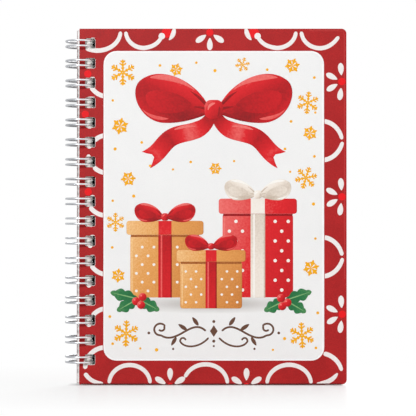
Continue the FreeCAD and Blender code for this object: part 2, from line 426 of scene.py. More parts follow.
def piece_of(name, points, faces, material, body, marks=None, uv=None, sheet=None):
    """A smooth mesh piece from arrays in mm: doubles at seams and poles merged, faces turned outwards."""
    mesh = bpy.data.meshes.new(name)
    mesh.from_pydata((points * MM).tolist(), [], faces.tolist())
    for label, values in (marks or {}).items():
        mesh.attributes.new(label, "FLOAT", "POINT").data.foreach_set("value", values.astype(np.float32))
    if uv is not None:
        corner = np.empty(len(mesh.loops), dtype=np.int32)
        mesh.loops.foreach_get("vertex_index", corner)
        mesh.uv_layers.new(name="UVMap").data.foreach_set("uv", uv[corner].astype(np.float32).ravel())
    solid = bmesh.new()
    solid.from_mesh(mesh)
    bmesh.ops.remove_doubles(solid, verts=solid.verts, dist=MERGE_REACH)
    bmesh.ops.dissolve_degenerate(solid, edges=solid.edges, dist=SHORT_EDGE)
    if sheet is not None and ((points < sheet[0]) | (points > sheet[1]))[:, [0, 2]].any():
        cut_to(solid, sheet)
    bmesh.ops.recalc_face_normals(solid, faces=solid.faces)
    solid.to_mesh(mesh)
    solid.free()
    mesh.polygons.foreach_set("use_smooth", np.ones(len(mesh.polygons), dtype=bool))
    mesh.materials.append(material)
    piece = bpy.data.objects.new(name, mesh)
    bpy.context.scene.collection.objects.link(piece)
    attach(piece, body)
    return piece


def printed(name, shape, material, node, body, behind=False):
    """A shape laid on a node's face that looks at the reader: (u, v, lift) becomes x, z and a step out in y.

    behind lays it on the far face instead, with u counted from the left as that face is looked at. What
    would run past the sheet's edges is cut off just inside them.
    """
    low, high = box_mm(node)
    u, v, lift = shape[0].T
    x = high[0] - u if behind else low[0] + u
    y = high[1] + lift if behind else low[1] - lift
    points = np.column_stack([x, y, low[2] + v])
    marks = {"tint": shape[2], "rim": shape[3]}
    sheet = (low + EDGE_CLEAR, high - EDGE_CLEAR)
    return piece_of(name, points, shape[1], material, body, marks, sheet=sheet)


def drop_flaps(mesh):
    """Takes out pairs of faces that lie back to back on the same corners, as a cut can leave them."""
    solid = bmesh.new()
    solid.from_mesh(mesh)
    bmesh.ops.triangulate(solid, faces=solid.faces)
    owners = {}
    for face in solid.faces:
        owners.setdefault(frozenset(face.verts), []).append(face)
    flaps = [face for faces in owners.values() if len(faces) > 1 for face in faces]
    bmesh.ops.delete(solid, geom=flaps, context="FACES")
    solid.to_mesh(mesh)
    solid.free()


def punched(piece, node, margin):
    """Cuts a cover's holes out of its print: rounded boxes at the loops' levels, right through the sheet.

    The cut is made at a scale of one unit to the mm, because ink is too thin for it in metres.
    """
    low, high = box_mm(node)
    outline = rounded_box((0.0, -HOLE_HEIGHT / 2), (HOLE_WIDTH, HOLE_HEIGHT / 2), HOLE_CORNER, along=2)
    count = len(outline)
    x = np.tile(low[0] + margin + outline[:, 0], 2)
    y = np.repeat([low[1] - 1.0, high[1] + 1.0], count)
    z = LOOP_LEVELS[:, None] + np.tile(outline[:, 1], 2)
    points = np.column_stack([np.tile(x, LOOP_COUNT), np.tile(y, LOOP_COUNT), z.ravel()])
    ring, starts = np.arange(count), 2 * count * np.arange(LOOP_COUNT)
    sides = starts[:, None, None] + grid_faces(2, count, around=True)
    caps = np.concatenate([starts[:, None] + ring, starts[:, None] + ring[::-1] + count])
    faces = sides.reshape(-1, 4).tolist() + caps.tolist()
    mesh = bpy.data.meshes.new("punch")
    mesh.from_pydata(points.tolist(), [], faces)
    punch = bpy.data.objects.new("punch", mesh)
    bpy.context.scene.collection.objects.link(punch)
    cut = piece.modifiers.new("holes", "BOOLEAN")
    cut.operation = "DIFFERENCE"
    cut.solver = "EXACT"
    cut.object = punch
    whole = piece.data
    whole.transform(Matrix.Scale(1 / MM, 4))
    left = bpy.data.meshes.new_from_object(piece.evaluated_get(bpy.context.evaluated_depsgraph_get()))
    drop_flaps(left)
    piece.modifiers.clear()
    piece.data = left
    left.transform(Matrix.Scale(MM, 4))
    left.name = piece.name
    bpy.data.meshes.remove(whole)
    bpy.data.objects.remove(punch)
    bpy.data.meshes.remove(mesh)


# Finishes: noise is read from Object coordinates, in metres, and colours are given as they look on screen.

def on_screen(red, green, blue):
    """A colour of 0 to 255 a channel as the linear values that a shader takes."""
    share = np.array([red, green, blue]) / 255
    linear = np.where(share <= 0.04045, share / 12.92, ((share + 0.055) / 1.055) ** 2.4)
    return (*linear.tolist(), 1.0)


def new_finish(name, roughness, metallic=0.0, specular=0.2):
    """A material with its shader's even values set."""
    material = bpy.data.materials.new(name)
    material.use_nodes = True
    shader = material.node_tree.nodes["Principled BSDF"]
    shader.inputs["Roughness"].default_value = roughness
    shader.inputs["Metallic"].default_value = metallic
    shader.inputs["Specular IOR Level"].default_value = specular
    return material, material.node_tree, shader


def grain(tree, size, detail=4.0, stretch=(1.0, 1.0, 1.0), source="Object"):
    """Noise whose blots are about size mm, drawn out along an axis by its stretch."""
    place = tree.nodes.new("ShaderNodeTexCoord")
    mapping = tree.nodes.new("ShaderNodeMapping")
    mapping.inputs["Scale"].default_value = [1 / share for share in stretch]
    noise = tree.nodes.new("ShaderNodeTexNoise")
    noise.inputs["Scale"].default_value = 1 / (size * MM)
    noise.inputs["Detail"].default_value = detail
    tree.links.new(place.outputs[source], mapping.inputs["Vector"])
    tree.links.new(mapping.outputs["Vector"], noise.inputs["Vector"])
    return noise.outputs["Fac"]


def marked(tree, label):
    """A piece's own mark, painted on its vertices."""
    reader = tree.nodes.new("ShaderNodeAttribute")
    reader.attribute_name = label
    return reader.outputs["Fac"]


def worked(tree, operation, *values):
    """The outcome of a sum on other nodes' values or plain numbers."""
    node = tree.nodes.new("ShaderNodeMath")
    node.operation = operation
    for socket, value in zip(node.inputs, values):
        if isinstance(value, bpy.types.NodeSocket):
            tree.links.new(value, socket)
        else:
            socket.default_value = value
    return node.outputs[0]


def ranged(tree, value, start, end, low, high):
    """From low to high as the value goes from start to end, and level beyond them."""
    spread = tree.nodes.new("ShaderNodeMapRange")
    for label, number in (("From Min", start), ("From Max", end), ("To Min", low), ("To Max", high)):
        spread.inputs[label].default_value = number
    tree.links.new(value, spread.inputs["Value"])
    return spread.outputs["Result"]


def swayed(tree, value, by, share):
    """value + share * (by - 0.5): one pattern swayed by another."""
    return worked(tree, "ADD", worked(tree, "MULTIPLY_ADD", by, share, -share / 2), value)


def ramped(tree, value, stops):
    """A run of colours: each stop is (value, linear colour)."""
    ramp = tree.nodes.new("ShaderNodeValToRGB")
    while len(ramp.color_ramp.elements) < len(stops):
        ramp.color_ramp.elements.new(0.5)
    for element, (place, colour) in zip(ramp.color_ramp.elements, stops):
        element.position = place
        element.color = colour
    tree.links.new(value, ramp.inputs["Fac"])
    return ramp.outputs["Color"]


def toned(tree, shader, value, stops):
    """The shader's colour by a pattern: each stop is (value, (red, green, blue))."""
    screen = [(place, on_screen(*colour)) for place, colour in stops]
    tree.links.new(ramped(tree, value, screen), shader.inputs["Base Color"])


def pressed(tree, shader, height, depth):
    """A relief of that depth in mm on the shader's normal."""
    relief = tree.nodes.new("ShaderNodeBump")
    relief.inputs["Distance"].default_value = depth * MM
    tree.links.new(height, relief.inputs["Height"])
    tree.links.new(relief.outputs["Normal"], shader.inputs["Normal"])


def rubbed(tree, shader, value, low, high):
    """Roughness between low and high as the pattern goes from 0.3 to 0.7."""
    tree.links.new(ranged(tree, value, 0.3, 0.7, low, high), shader.inputs["Roughness"])


def coated(name, stops, size, detail=4.0, stretch=(1.0, 1.0, 1.0), roughness=0.5, specular=0.2, relief=0.005,
           clouds=None, mark=None, rub=None):
    """A finish with one grain of that size, which picks the colour and presses a relief.

    clouds is (size, share): slow noise sways the colour by that share. mark is (label, share): the piece's
    own mark picks the colour, and the grain sways it. rub is the roughness at the grain's low and high.
    """
    material, tree, shader = new_finish(name, roughness, specular=specular)
    fine = grain(tree, size, detail, stretch)
    tone = fine
    if clouds:
        tone = swayed(tree, fine, grain(tree, clouds[0], 2.0), clouds[1])
    if mark:
        tone = swayed(tree, marked(tree, mark[0]), fine, mark[1])
    toned(tree, shader, tone, stops)
    if rub:
        rubbed(tree, shader, fine, *rub)
    pressed(tree, shader, fine, relief)
    return material


def red_laminate():
    """Red print under a satin film: fine mottle, slow clouds, and the film's faint orange peel."""
    reds = ((0.25, (156, 20, 22)), (0.5, (170, 24, 26)), (0.75, (184, 30, 31)))
    return coated("red_laminate", reds, 0.5, 5.0, relief=0.006, clouds=(9.0, 0.5), rub=(0.40, 0.54))


def shaded_red():
    """Darker red for the painted shade along the foot of the front cover."""
    return coated("shaded_red", ((0.3, (84, 10, 12)), (0.7, (104, 14, 16))), 0.6, roughness=0.6)


def shaded_edge_red():
    """Red print showing at a cover's cut edge, darker than the cover's red as painted shade along the edge.
    """
    # Painted shade: these reds are darker than the cover's red print.
    reds = ((0.3, (104, 26, 26)), (0.7, (138, 62, 60)))
    return coated("shaded_edge_red", reds, 0.8, 5.0, roughness=0.6, relief=0.006)


def white_ink():
    """White border ink: a trace of paper tone inside, and red showing through at its thin edge."""
    whites = ((0.0, (240, 236, 234)), (0.55, (240, 233, 231)), (0.9, (233, 165, 158)))
    return coated("white_ink", whites, 0.4, relief=0.004, mark=("rim", 0.25))


def panel_paper():
    """The panel's plain white, with the paper's faint tooth."""
    whites = ((0.25, (238, 238, 238)), (0.75, (244, 244, 243)))
    return coated("panel_paper", whites, 0.35, 5.0, clouds=(14.0, 0.4), rub=(0.44, 0.56))


def rim_ink():
    """The brighter line round the panel, and beside the holes, where it is partly painted highlight."""
    whites = ((0.3, (250, 250, 250)), (0.7, (254, 254, 254)))
    return coated("rim_ink", whites, 0.4, roughness=0.45, relief=0.003)


def painted_ink(name, stops, size=0.9, sway=0.35):
    """Ink laid on with a brush: the piece's tint picks the tone, and bristle-fine grain sways it."""
    return coated(name, stops, size, 6.0, mark=("tint", sway))


def steel():
    """Bright drawn steel: fine lines along the wire, read from its own map.

    Painted shade: its colour is darker round the outside of the loops and where it faces up or down, standing
    in for darker reflections there.
    """
    material, tree, shader = new_finish("steel", 0.25, metallic=1.0)
    drawn = grain(tree, 0.55, 2.0, (60.0, 1.0, 1.0), source="UV")
    axes, facing = (tree.nodes.new("ShaderNodeSeparateXYZ") for _ in range(2))
    tree.links.new(tree.nodes.new("ShaderNodeTexCoord").outputs["Object"], axes.inputs["Vector"])
    tree.links.new(tree.nodes.new("ShaderNodeNewGeometry").outputs["Normal"], facing.inputs["Vector"])
    start, end = (RING_AXIS_X - 2.5) * MM, (RING_AXIS_X + 3.0) * MM
    # Painted shade: darker colour towards the outside of the loops, on the left.
    painted_shade_x = ranged(tree, axes.outputs["X"], start, end, 0.43, 0.66)
    # Painted shade: darker colour where the wire faces up or down.
    upright = worked(tree, "ABSOLUTE", facing.outputs["Z"])
    tone = swayed(tree, swayed(tree, painted_shade_x, drawn, 0.4), upright, -0.18)
    toned(tree, shader, tone, ((0.2, (122, 124, 128)), (0.5, (196, 198, 202)), (0.75, (244, 245, 247))))
    rubbed(tree, shader, drawn, 0.38, 0.26)
    return material


def hole_shadow_cloth():
    """Black cloth, a dark sheet standing in for the shade in the holes: a fine plain weave, crossed threads
    along and up the strip.
    """
    material, tree, shader = new_finish("hole_shadow_cloth", 0.85, specular=0.15)
    along, up = grain(tree, 0.25, 2.0, (8.0, 1.0, 1.0)), grain(tree, 0.25, 2.0, (1.0, 1.0, 8.0))
    weave = swayed(tree, along, up, 0.8)
    toned(tree, shader, weave, ((0.3, (5, 5, 6)), (0.7, (20, 20, 22))))
    pressed(tree, shader, weave, 0.02)
    return material


def grey_board():
    """Cover board seen at its cut edges: layered pale fibres lying in the plane of the sheet."""
    greys = ((0.3, (196, 192, 186)), (0.5, (224, 221, 216)), (0.7, (240, 238, 234)))
    return coated("grey_board", greys, 0.35, 5.0, (4.0, 0.5, 4.0), roughness=0.8, relief=0.03)


def paper(name, dark, light, size=0.5, roughness=0.7):
    """Uncoated paper: fibres of that size, drawn out along the sheet's length, over slow clouds."""
    return coated(name, ((0.3, dark), (0.7, light)), size, 5.0, (1.0, 1.0, 2.5), roughness, 0.25, 0.008,
                  clouds=(11.0, 0.4))


def foam_tape():
    """White tape with the small cells of its foam at the edges."""
    whites = ((0.35, (226, 226, 222)), (0.65, (246, 246, 243)))
    return coated("foam_tape", whites, 0.25, 3.0, roughness=0.65, specular=0.3, relief=0.02)


# Binding wire.

def pair_route():
    """Centre line of one pair of loops about the ring's axis, and at each point the way straight out from it.

    A bar runs up to a quarter bend, which leads into the lower loop. The loop goes round to the seam, a half
    circle leads it up to the upper loop, and the way back is the way there with z turned over.
    """
    half = TWIN_SPACING / 2
    tip = SEAM_ANGLE + 2 * np.pi - (SEAM_GAP + ROOT_BEND_RADIUS + half) / RING_RADIUS
    angle = np.linspace(SEAM_ANGLE, tip, LOOP_POINTS)
    out = np.column_stack([np.cos(angle), np.sin(angle), 0 * angle])
    ahead_root = np.array([-np.sin(SEAM_ANGLE), np.cos(SEAM_ANGLE), 0.0])
    ahead_tip = np.array([-np.sin(tip), np.cos(tip), 0.0])
    root = RING_RADIUS * out[0] - UP * (half + ROOT_BEND_RADIUS)
    rise = np.linspace(LOOP_PITCH / 2 - half - ROOT_BEND_RADIUS, 0.0, BAR_POINTS)[:-1, None]
    bar = root - ROOT_BEND_RADIUS * ahead_root - UP * rise
    turn = np.linspace(0.0, np.pi / 2, BEND_POINTS)[:-1, None]
    corner = root + ROOT_BEND_RADIUS * (UP * np.sin(turn) - ahead_root * np.cos(turn))
    loop = RING_RADIUS * out - UP * half
    back = np.linspace(0.0, np.pi, HAIRPIN_POINTS)[1:-1, None]
    hairpin = RING_RADIUS * out[-1] + half * (ahead_tip * np.sin(back) - UP * np.cos(back))
    there = np.concatenate([bar, corner, loop])
    outward = np.concatenate([np.repeat(out[:1], len(bar) + len(corner), axis=0), out])
    route = np.concatenate([there, hairpin, there[::-1] * np.array([1.0, 1.0, -1.0])])
    return route, np.concatenate([outward, np.repeat(out[-1:], len(hairpin), axis=0), outward[::-1]])


def binding_wire(material):
    """A round tube along every pair's route in turn, closed at its ends.

    A point on it is the route's point plus the radius times (out cos a + side sin a).
    """
    route, outward = pair_route()
    origin = np.array([RING_AXIS_X, 0.0, 0.0]) + np.outer(LOOP_LEVELS[::-1], UP)
    line = np.concatenate([(origin[:, None] + route[None, :-1]).reshape(-1, 3), [origin[-1] + route[-1]]])
    out = np.concatenate([np.tile(outward[:-1], (LOOP_COUNT, 1)), outward[-1:]])
    ahead = np.gradient(line, axis=0)
    ahead = ahead / np.linalg.norm(ahead, axis=1, keepdims=True)
    side = np.cross(ahead, out)
    run = np.concatenate([[0.0], np.cumsum(np.linalg.norm(np.diff(line, axis=0), axis=1))])
    ends = np.concatenate([[0], np.arange(len(line)), [len(line) - 1]])
    radius = np.full(len(ends), WIRE_DIAMETER / 2)
    radius[[0, -1]] = 0.0
    angle = np.linspace(-np.pi, np.pi, ROUND_POINTS)
    ring = out[ends, None] * np.cos(angle)[:, None] + side[ends, None] * np.sin(angle)[:, None]
    points = line[ends, None] + radius[:, None, None] * ring
    uv = np.dstack(np.broadcast_arrays(run[ends, None] * MM, (angle * WIRE_DIAMETER / 2 * MM)[None]))
    piece = piece_of("binding_wire_drawn", points.reshape(-1, 3), grid_faces(len(ends), len(angle)), material,
                     "back_cover", uv=uv.reshape(-1, 2))
    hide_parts("binding_wire")


# Border of the covers.

def sprig(centre, directions, clear=PETAL_START):
    """Petals that stand clear of a dot: each is a straight tapered patch along its direction, in degrees."""
    angle = np.radians(directions)
    way = np.column_stack([np.cos(angle), np.sin(angle)])
    starts = np.array(centre) + way * np.broadcast_to(clear, len(way))[:, None]
    share = np.linspace(0.0, 1.0, 9)[:, None]
    return joined(*[drop(start + w * PETAL_LENGTH * share, PETAL_WIDTH) for start, w in zip(starts, way)])


def hump(centre, half_width, height, start=180):
    """A scallop that stands on two feet: the upper half of an ellipse, from its start in degrees."""
    return stroke(arc(centre, (half_width, height), start, 0), ends=BOTH_THIN)


def half_ring(centre):
    """Two curves that bulge right from the panel's edge, one above the other, with a gap between them."""
    above = bend((-0.6, 8.4), (3.2, 8.3), (6.9, 5.1), (7.65, 0.55)) + np.array(centre)
    below = bend((7.85, -0.4), (7.1, -4.3), (3.9, -8.0), (-0.6, -8.3)) + np.array(centre)
    return joined(stroke(above, ends=(1.0, THIN_END)), stroke(below, ends=(THIN_END, 1.0)))


def hung_swag(blob, low, far):
    """A swag beside a half sprig: from a blob down to its lowest place, then a quarter of an ellipse up."""
    fall = bend((blob, 149.2), (0.78 * blob + 0.22 * low, 144.8), (low, 144.1))
    rise = arc((low, 151.2), (far - low, 7.1), 270, 360)
    return joined(stroke(chain(fall, rise), ends=BOTH_THIN), raised(disc(fall[0], 1.42), RIM_LAYER))


def corner_swag():
    """The swag in the upper corner: a quarter of an ellipse down, then a long slant up to its far end."""
    down = arc((103.6, 151.2), (8.1, 7.2), 180, 270)
    return stroke(chain(down, bend((103.6, 144.0), (108.3, 144.2), (111.5, 149.1))), ends=BOTH_THIN)


def border_strokes():
    """White scallops round the panel, side by side along each edge, as the print has them."""
    top = [hung_swag(35.6, 28.0, 20.2), hung_swag(76.7, 84.9, 93.1), corner_swag()]
    foot = [hump((21.9, 0.4), 8.75, 7.9), hump((54.4, 0.3), 9.35, 8.3, 161), hump((90.1, 0.3), 9.4, 8.1)]
    right = [half_ring((105.2, 104.3)), half_ring((105.2, 54.5))]
    corner = stroke(bend((104.8, 13.2), (108.2, 12.8), (111.8, 9.9), (112.6, 5.75)), ends=(1.0, THIN_END))
    tip = drop(bend((101.4, 0.5), (105.6, 0.7), (108.4, 1.0), (110.9, 4.9)), 2.1)
    return joined(*top, *foot, *right, corner, tip)


def spine_strokes():
    """White scallops beside the wire: parts of rings that bulge left from the panel, up to the holes."""
    rings = (((12.4, 131.4), 8.1, 268, 208), ((12.4, 98.6), 8.1, 96, 138), ((12.4, 98.6), 8.1, 222, 268),
             ((11.8, 80.7), 8.4, 214, 268), ((12.4, 55.1), 8.1, 210, 268), ((12.4, 24.4), 8.1, 92, 144),
             ((11.5, 7.2), 8.6, 92, 184))
    arcs = [stroke(arc(centre, (radius, radius), start, end)) for centre, radius, start, end in rings]
    swag_end = stroke(arc((8.07, 151.2), (9.8, 8.2), 239, 360), ends=(1.0, THIN_END))
    return joined(*arcs, swag_end, stroke(bend((2.7, 4.9), (5.2, 0.6), (10.6, 0.5)), 2.0, ends=(1.0, 0.6)))


def lit_hole_rims(margin):
    """White paper bared by the punch, drawn only down the right side of each hole and along its foot, the
    sides that catch the light: partly painted highlight.
    """
    wide, low = HOLE_WIDTH + RIM_WIDTH / 2, -HOLE_HEIGHT / 2 - RIM_WIDTH / 2
    turn = arc((wide - HOLE_CORNER, low + HOLE_CORNER), (HOLE_CORNER, HOLE_CORNER), 0, -90, 7)
    down, along = np.linspace((wide, -low - 0.5), turn[0], 5), np.linspace(turn[-1], (0.6, low), 5)
    line = stroke(chain(down, turn, along), RIM_WIDTH, middle=24, lean=True)
    return joined(*[shifted(line, (margin, level)) for level in LOOP_LEVELS])


def hole_scraps(margin):
    """White ornament that the punch left beside some holes: half ellipses that stand on the hole's edge."""
    shapes = []
    for hole, way, middle, half_width, height in HOLE_SCRAPS:
        edge = (margin + middle, LOOP_LEVELS[hole] + way * HOLE_HEIGHT / 2)
        outline = arc(edge, (half_width, height), 90 - way * 90, 270 - way * 90, 17)
        shapes.append(filled(outline, (edge[0], edge[1] + 0.4 * way * height)))
    return joined(*shapes)


def border_petals():
    """White petals of the sprigs that stand between the scallops."""
    right = [sprig(place, (94.0, 153.5, 210.8, 263.0), (2.66, 2.12, 2.16, 2.68)) for place in RIGHT_HEARTS]
    foot = [sprig(place, (31.6, 90.0, 148.4), (2.1, 2.6, 2.1)) for place in FOOT_HEARTS]
    halves = [tapered(bend((u, 153.4), (u, 149.6), (tip, 147.5)), 2.15, fullest=0.5)
              for u, tip in ((71.7, 74.1), (41.0, 38.6))]
    return joined(sprig(TOP_HEART, (215.0, 270.0, 325.0), (1.9, 2.3, 1.9)), *halves, *right, *foot)


def border_dots():
    """Red dots at the hearts of the sprigs, and those that show between the loops of the wire."""
    beside_wire = ((3.9, 133.0), (2.8, 115.7), (4.1, 82.4))
    whole = [disc(place, DOT_RADIUS) for place in (*RIGHT_HEARTS, TOP_HEART, *beside_wire)]
    caps = [arc(heart, (DOT_RADIUS, DOT_RADIUS), 40, 140, 15) for heart in FOOT_HEARTS]
    cut = [filled(cap, (heart[0], 0.25)) for cap, heart in zip(caps, FOOT_HEARTS)]
    return joined(*whole, *cut, disc((75.1, 150.6), 2.2), disc((37.7, 150.6), 2.2))


# Picture in the panel: a bow, gifts with holly, a scroll and falling snow.

def six_arms(arm, centre, turn, step):
    """An arm turned round the centre to six places, each a step of layers over the one before."""
    return shifted(joined(*[raised(turned(arm, turn + 60 * k), step * k) for k in range(6)]), centre)


def snow_crystal(centre, radius, turn):
    """Six feathered arms: a stem with pairs of side lines that lean outwards, longest halfway along it."""
    feather, lean = 0.122 * radius, np.radians(52)
    stem = np.array([[0.02, 0.0], [1.0, 0.0]]) * radius
    lines = [stroke(stem, feather * 1.15, 0.6, middle=3, lean=True)]
    for along, reach in ((0.28, 0.16), (0.52, 0.33), (0.76, 0.24)):
        for side in (-1, 1):
            tip = np.array([along + reach * np.cos(lean), side * reach * np.sin(lean)])
            line = stroke(np.array([[along, 0.0], tip]) * radius, feather, middle=3, lean=True)
            lines.append(raised(line, 0.08 * len(lines)))
    return six_arms(joined(*lines), centre, turn, 0.6)


def snow_star(centre, radius, turn):
    """Six blunt arms: a broad tapered petal, and two short ones beside its tip."""
    share, lean = np.linspace(0.0, 1.0, 7)[:, None], np.radians(50)
    along = np.array([[1.0, 0.0]])
    petals = [tapered(share * along * radius, 0.36 * radius, 0.55, 0.6, 12, True)]
    for side in (-1, 1):
        way = np.array([[np.cos(lean), side * np.sin(lean)]])
        side_petal = tapered((0.42 * along + 0.42 * share * way) * radius, 0.22 * radius, 0.5, 0.6, 10, True)
        petals.append(raised(side_petal, 0.3 * len(petals)))
    return six_arms(joined(*petals), centre, turn, 0.9)


def snowfall():
    """Gold crystals, stars and dots, scattered round the picture."""
    crystals = (
        ((18.9, 133.6), 5.6, 30), ((98.2, 120.6), 4.9, 24), ((15.8, 69.4), 4.1, 30), ((97.4, 88.4), 4.9, 12),
        ((20.4, 21.8), 5.7, 28), ((95.6, 21.0), 5.6, 33), ((70.2, 137.0), 3.2, 10))
    stars = (
        ((17.8, 110.6), 3.7, 18), ((91.6, 136.6), 3.3, 8), ((21.3, 88.0), 3.3, 5), ((99.2, 107.6), 3.2, 20),
        ((99.6, 49.8), 3.6, 14), ((17.0, 46.6), 3.1, 25), ((41.8, 134.8), 2.9, 12), ((58.6, 92.4), 2.8, 0))
    dots = (
        (31.2, 122.4, 0.75), (34.8, 136.6, 0.6), (14.6, 121.6, 0.55), (27.0, 103.6, 0.6), (15.6, 100.8, 0.7),
        (30.6, 93.6, 0.55), (14.6, 78.6, 0.55), (23.6, 80.6, 0.7), (14.4, 58.6, 0.6), (13.4, 29.0, 0.65),
        (33.4, 14.8, 0.75), (26.4, 15.4, 0.5), (14.6, 17.4, 0.6), (50.4, 137.8, 0.55), (58.4, 134.4, 0.7),
        (80.8, 134.8, 0.6), (85.6, 126.4, 0.7), (101.0, 131.4, 0.6), (101.4, 116.4, 0.5), (91.0, 112.6, 0.6),
        (88.4, 100.8, 0.6), (101.0, 97.6, 0.6), (90.6, 91.0, 0.5), (100.6, 77.2, 0.7), (101.4, 62.4, 0.55),
        (102.4, 30.6, 0.65), (88.2, 19.6, 0.7), (83.2, 14.8, 0.5), (101.6, 15.6, 0.6), (66.6, 95.6, 0.5),
        (48.0, 95.2, 0.6), (40.4, 92.0, 0.5))
    flakes = [snow_crystal(*crystal) for crystal in crystals] + [snow_star(*star) for star in stars]
    return joined(*flakes, *[disc((u, v), radius, 0.6, count=16) for u, v, radius in dots])


def bow_loop():
    """The left loop of a bow about its knot: outer side, darker inside, and strokes of light and shade."""
    outer = chain(bend((-2.2, 1.8), (-8.0, 12.5), (-22.0, 18.0), (-29.5, 11.4)),
                  bend((-29.5, 11.4), (-34.0, 6.6), (-29.0, -4.6), (-20.0, -5.2)),
                  bend((-20.0, -5.2), (-13.0, -5.6), (-7.0, -3.6), (-2.2, -1.6)))
    inner = chain(bend((-8.6, 2.0), (-12.0, 6.2), (-19.0, 8.4), (-24.4, 7.6)),
                  bend((-24.4, 7.6), (-30.0, 6.6), (-26.4, -0.6), (-19.6, -1.4)),
                  bend((-19.6, -1.4), (-14.0, -1.8), (-10.4, -0.4), (-8.6, 2.0)))
    cheek = shaded(filled(outer, (-17.0, 4.0)),
                   lambda u, v: 0.34 + 0.20 * np.sin((u + 1.5 * v + 4) / 7.0) + 0.012 * v)
    hollow = shaded(filled(inner, (-18.5, 3.0)), lambda u, v: 0.20 + 0.010 * (-u - 8))
    light = [tapered(bend((-7.4, 7.6), (-15.0, 14.0), (-25.4, 12.8)), 2.3, 0.86),
             tapered(bend((-28.6, 0.6), (-25.6, -3.6), (-18.0, -3.6)), 1.4, 0.78)]
    shade = [tapered(bend((-2.6, 1.4), (-5.4, 5.0), (-9.4, 7.4)), 1.2, 0.12, 0.3),
             tapered(bend((-2.6, 0.2), (-5.0, 1.0), (-8.0, 1.2)), 1.0, 0.12, 0.3),
             tapered(bend((-2.6, -1.0), (-6.6, -2.6), (-11.0, -3.4)), 1.0, 0.14, 0.3)]
    return joined(raised(cheek, 1), raised(hollow, 2), *[raised(line, 3) for line in light + shade])


def bow_tail():
    """The left tail of a bow: a waving ribbon, dark under the knot and where it turns, cut to a V."""
    path = chain(bend((-0.8, -1.4), (-3.4, -9.6), (-10.6, -8.4), (-15.4, -10.4)),
                 bend((-15.4, -10.4), (-20.4, -12.4), (-20.6, -17.0), (-27.0, -20.0)))
    tones = (0.10, 0.30, 0.62, 0.80, 0.50, 0.24, 0.42, 0.66, 0.56)
    fold = tapered(bend((-6.4, -6.6), (-11.6, -6.2), (-15.8, -8.0)), 1.1, 0.9)
    return joined(band(path, 7.0, tones, 4.2, (0.55, 0.95, 1.0, 1.0, 1.05)), raised(fold, 1))


def bow(centre, scale, tails=True):
    """A tied bow: a loop and a tail each side, and over them the knot, lighter at its upper left."""
    half = joined(bow_loop(), bow_tail()) if tails else bow_loop()
    knot = filled(rounded_box((-3.7, -3.6), (3.7, 3.9), 2.6), (0.0, 0.0))
    knot = shaded(knot, lambda u, v: 0.46 - 0.06 * u + 0.05 * v)
    glint = tapered(bend((-2.3, -0.6), (-2.4, 2.0), (0.6, 2.7)), 1.1, 0.95)
    crease = tapered(bend((1.0, -3.2), (2.6, -1.4), (2.2, 1.4)), 0.9, 0.12)
    whole = joined(half, mirrored(half, 0.0), raised(knot, 4), raised(glint, 5), raised(crease, 5))
    return shifted(placed(whole, whole[0] * np.array([scale, scale, 1.0])), centre)


def gift(low, high, lid_height):
    """A wrapped box: its front, which darkens to the right and below, and a lid that overhangs it."""
    low, high = np.array(low, float), np.array(high, float)
    width, tall = high - low
    front = filled(rounded_box(low, high, 1.2))
    front = shaded(front, lambda u, v: 0.72 - 0.40 * (u - low[0]) / width + 0.14 * (v - low[1]) / tall)
    lip = np.array([1.5, 0.0])
    top = filled(rounded_box(high * (0, 1) + low * (1, 0) - lip, high + lip + (0, lid_height), 1.2))
    top = shaded(top, lambda u, v: 0.86 - 0.34 * (u - low[0]) / width)
    under = band(np.array([[low[0] + 0.3, high[1] - 0.5], [high[0] - 0.3, high[1] - 0.5]]), 1.0, 0.12)
    side = np.array([low + (0.9, 1.2), (low[0] + 0.9, high[1] - 1.6)])
    edge = stroke(side, 0.55, 0.95, middle=6, lean=True)
    return joined(raised(front, 1), raised(under, 1.5), raised(edge, 2), raised(top, 4))


def gift_ribbon(low, high, lid_height, width):
    """The ribbon down the middle of a gift and over its lid, with a dark edge on its right."""
    centre = (low[0] + high[0]) / 2
    line = np.array([[centre, low[1] + 0.05], [centre, high[1]]])
    cap = np.array([[centre, high[1] + 0.02], [centre, high[1] + lid_height]])
    shade = line + np.array([width / 2 - 0.35, 0.0])
    sheen = line + np.array([-width / 4, 0.0])
    front = raised(band(line, width, (0.5, 0.44, 0.36, 0.26)), 2.5)
    over_lid = raised(band(cap, width, (0.62, 0.56)), 5)
    return joined(front, over_lid, raised(band(shade, 0.6, 0.14), 3.2), raised(band(sheen, 0.7, 0.8), 3.2))


def gift_dots(low, high, pitch, radius, clear):
    """Dots in staggered rows over a gift's front, left out this near to its middle, where the ribbon runs."""
    centre = (low[0] + high[0]) / 2
    rows = np.arange(low[1] + 0.6 * pitch, high[1] - 0.45 * pitch, pitch * 0.75)
    places = [(u, v) for k, v in enumerate(rows)
              for u in np.arange(low[0] + (0.55 + 0.5 * (k % 2)) * pitch, high[0] - 0.3 * pitch, pitch)
              if abs(u - centre) >= clear]
    return raised(joined(*[disc(place, radius, 0.7, count=12) for place in places]), 2)


def ground_shade():
    """A soft shade under the gifts: an ellipse whose tint is 1 - r^1.5, r being 1 at its edge."""
    middle, reach = np.array([57.0, 34.4]), np.array([41.0, 4.2])
    patch = filled(arc(middle, reach, 0, 360, 61)[:-1], middle)
    spread = np.hypot(*((patch[0][:, :2] - middle) / reach).T)
    return shaded(patch, lambda u, v: 1 - spread ** 1.5)


def holly_leaf(root, tip, width, layer):
    """A leaf whose half width swells and nips in three times: sin(pi t)^0.7 (0.66 + 0.34 |cos(3 pi t)|)."""
    t = np.linspace(0.0, 1.0, 37)
    half = width / 2 * np.sin(np.pi * t).clip(0.0) ** 0.7 * (0.66 + 0.34 * np.abs(np.cos(3 * np.pi * t)))
    root, tip = np.array(root, float), np.array(tip, float)
    blade = ribbon(root + (tip - root) * t[:, None], t, half, 0.32 + 0.3 * t)
    vein = tapered(root + (tip - root) * np.linspace(0.06, 0.92, 9)[:, None], 0.55, 0.95, 0.3, 14, True)
    return joined(raised(blade, layer), raised(vein, layer + 1.4))


